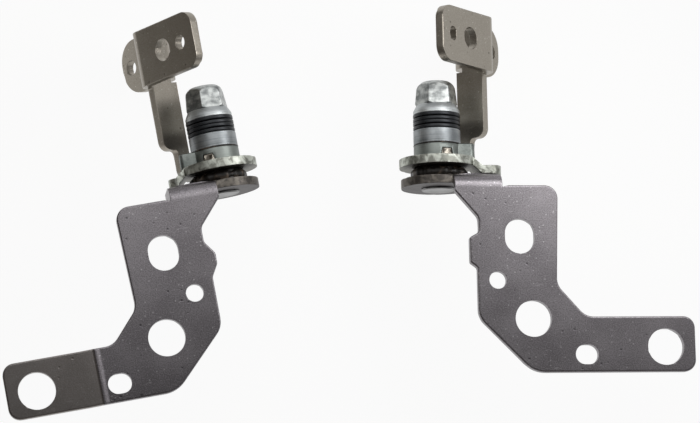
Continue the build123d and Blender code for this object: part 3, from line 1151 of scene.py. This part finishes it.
@dataclass(frozen=True)
class Studio:
    """Pale floor, soft light and the camera of the picture.

    Attributes:
        target: Point that the camera looks at, in millimetres.
        yaw: Angle of the camera round Y, in degrees.
        pitch: Angle of the camera below the square view, in degrees.
        roll: Turn of the picture, in degrees.
        distance: Distance from the target in millimetres.
        scale: Pixels per millimetre at the target.
        width: Width of the picture in pixels.
        sensor_mm: Width of the camera's sensor.
        clip: Nearest and farthest distance that the camera sees, in metres.
        floor_drop: Gap between the lowest point and the floor, in millimetres.
        floor_half: Half the width of the floor, in metres.
        floor_colour: Colour of the floor.
        floor_glow: Share of plain white in the floor, as the camera and reflections see it.
        left_flag: Card at the left, out of the picture.
        room: Light of the room around.
    """

    target: tuple[float, float, float] = (-33.78, 16.53, 0.0)
    yaw: float = -7.39
    pitch: float = 9.06
    roll: float = -1.13
    distance: float = 400.0
    scale: float = 7.43
    width: float = 700.0
    sensor_mm: float = 36.0
    clip: tuple[float, float] = (0.01, 20.0)
    floor_drop: float = 0.5
    floor_half: float = 3.0
    floor_colour: str = "#f2f2f0"
    floor_glow: float = 0.93
    left_flag: Flag = Flag()
    room: Room = Room(
        right="#aaaaac",
        left="#898785",
        top="#d8d8da",
        bottom="#898785",
        front="#434241",
        back="#f2f2f2",
    )

    def camera(self) -> None:
        """Puts the camera where the picture was taken from."""
        turn = (
            Matrix.Rotation(math.radians(self.yaw), 3, "Y")
            @ Matrix.Rotation(math.radians(self.pitch), 3, "X")
            @ Matrix.Rotation(math.radians(self.roll), 3, "Z")
        )
        data = bpy.data.cameras.new("picture_camera")
        data.sensor_width = self.sensor_mm
        data.lens = self.scale * self.distance / self.width * data.sensor_width
        data.clip_start, data.clip_end = self.clip
        made = bpy.data.objects.new("picture_camera", data)
        place = Vector(self.target) * MM + turn @ Vector((0.0, 0.0, self.distance * MM))
        made.matrix_world = Matrix.Translation(place) @ turn.to_4x4()
        bpy.context.scene.collection.objects.link(made)
        bpy.context.scene.camera = made

    def _card(
        self, name: str, corners: list[tuple], material: bpy.types.Material
    ) -> bpy.types.Object:
        """Makes one flat card.

        Args:
            name: Name of the card.
            corners: Its four corners in turn, in metres.
            material: Its finish.

        Returns:
            The new object.
        """
        mesh = bpy.data.meshes.new(name)
        mesh.from_pydata(np.array(corners), [], [(0, 1, 2, 3)])
        mesh.materials.append(material)
        made = bpy.data.objects.new(name, mesh)
        bpy.context.scene.collection.objects.link(made)
        return made

    def floor(self, level: float) -> None:
        """Lays a wide white floor that the camera and reflections see as nearly plain white.

        Args:
            level: Height of the floor in metres.
        """
        half = self.floor_half
        material, tree, output = new_tree("white_card")
        rays = add_node(tree, "ShaderNodeLightPath").outputs
        diffuse = add_node(tree, "ShaderNodeBsdfDiffuse", {"Color": linear(self.floor_colour)})
        glow = add_node(tree, "ShaderNodeEmission", {"Color": linear(WHITE), "Strength": 1.0})
        mirrored = combine(tree, "MAXIMUM", rays["Is Glossy Ray"], rays["Is Transmission Ray"])
        seen = combine(tree, "MAXIMUM", rays["Is Camera Ray"], mirrored)
        share = combine(tree, "MULTIPLY", seen, self.floor_glow)
        both = add_node(
            tree, "ShaderNodeMixShader", {0: share, 1: diffuse.outputs[0], 2: glow.outputs[0]}
        )
        tree.links.new(both.outputs[0], output.inputs[0])
        corners = [(-half, -half, level), (half, -half, level), (half, half, level), (-half, half, level)]
        made = self._card("floor", corners, material)
        made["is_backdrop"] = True

    def flag(self, level: float) -> None:
        """Stands the grey card on the floor at the left, out of the picture.

        Args:
            level: Height of the floor in metres.
        """
        card = self.left_flag
        near, far, top, wide = card.near * MM, card.far * MM, card.top * MM, card.half_length * MM
        foot = level + card.lift * MM
        material, tree, output = new_tree("grey_card")
        diffuse = add_node(tree, "ShaderNodeBsdfDiffuse", {"Color": linear(card.colour)})
        tree.links.new(diffuse.outputs[0], output.inputs[0])
        corners = [(near, -wide, foot), (near, wide, foot), (far, wide, top), (far, -wide, top)]
        made = self._card("left_flag", corners, material)
        made.visible_camera = False
        made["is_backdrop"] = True

    def light(self) -> None:
        """Hangs the softboxes over the pair and puts the room round it."""
        for softbox in SOFTBOXES:
            softbox.hang(Vector(self.target) * MM)
        world = bpy.data.worlds.new("studio_room")
        world.use_nodes = True
        tree = world.node_tree
        tree.nodes.clear()
        output = tree.nodes.new("ShaderNodeOutputWorld")
        room = self.room.light(tree)
        rays = add_node(tree, "ShaderNodeLightPath")
        colour = mix_colour(tree, rays.outputs["Is Camera Ray"], room, linear(WHITE))
        back = add_node(tree, "ShaderNodeBackground", {"Color": colour, "Strength": 1.0})
        tree.links.new(back.outputs[0], output.inputs[0])
        bpy.context.scene.world = world


def height_of(shaft: ShaftFrame, node: str) -> tuple[float, float]:
    """Lowest and highest point of an upright hinge's node along its shaft.

    Args:
        shaft: Axes of a hinge whose shaft stands along Y.
        node: Name of the node.

    Returns:
        Both heights above the base ear, in millimetres.
    """
    low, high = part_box(node)
    return (low.y - shaft.origin[1]) / MM, (high.y - shaft.origin[1]) / MM


def main() -> None:
    """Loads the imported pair, builds and dresses its pieces, and sets the studio."""
    logging.basicConfig(level=logging.INFO, format="%(name)s: %(message)s")
    bpy.ops.wm.read_factory_settings(use_empty=True)
    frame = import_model()
    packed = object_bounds()
    joints = {joint["name"]: joint for joint in frame["joints"]}
    shafts = {side: ShaftFrame.from_joint(side, joints[f"{side.value}_lid_turn"]) for side in Side}
    upright = shafts[Side.RIGHT]
    springs = [height_of(upright, f"right_disc_spring_{number}") for number in (1, 2)]
    pitch = springs[1][0] - springs[0][0]
    cone = springs[0][1] - springs[0][0] - DiscSpring.thickness
    nut_low, nut_high = height_of(upright, "right_lock_nut")
    cam_high = height_of(upright, "right_cam_ring")[1]
    spacer_middle = sum(height_of(upright, "right_spacer_washer")) / 2
    for shaft in shafts.values():
        Brackets(shaft, frame["nodes"]).dress()
        Stack(
            shaft=shaft,
            springs_low=springs[0][0],
            spring_pitch=pitch,
            spring_cone=cone,
            spring_count=SPRING_COUNT,
            cam_joint=cam_high,
            ear_joint=spacer_middle,
            nut_turn=NUT_TURN[shaft.side],
            nut_low=nut_low,
            nut_high=nut_high,
        ).build()
    studio = Studio()
    studio.camera()
    studio.light()
    level = packed[0].z - studio.floor_drop * MM
    studio.floor(level)
    studio.flag(level)
    bpy.context.scene.view_settings.view_transform = "Standard"


if __name__ == "__main__":
    main()
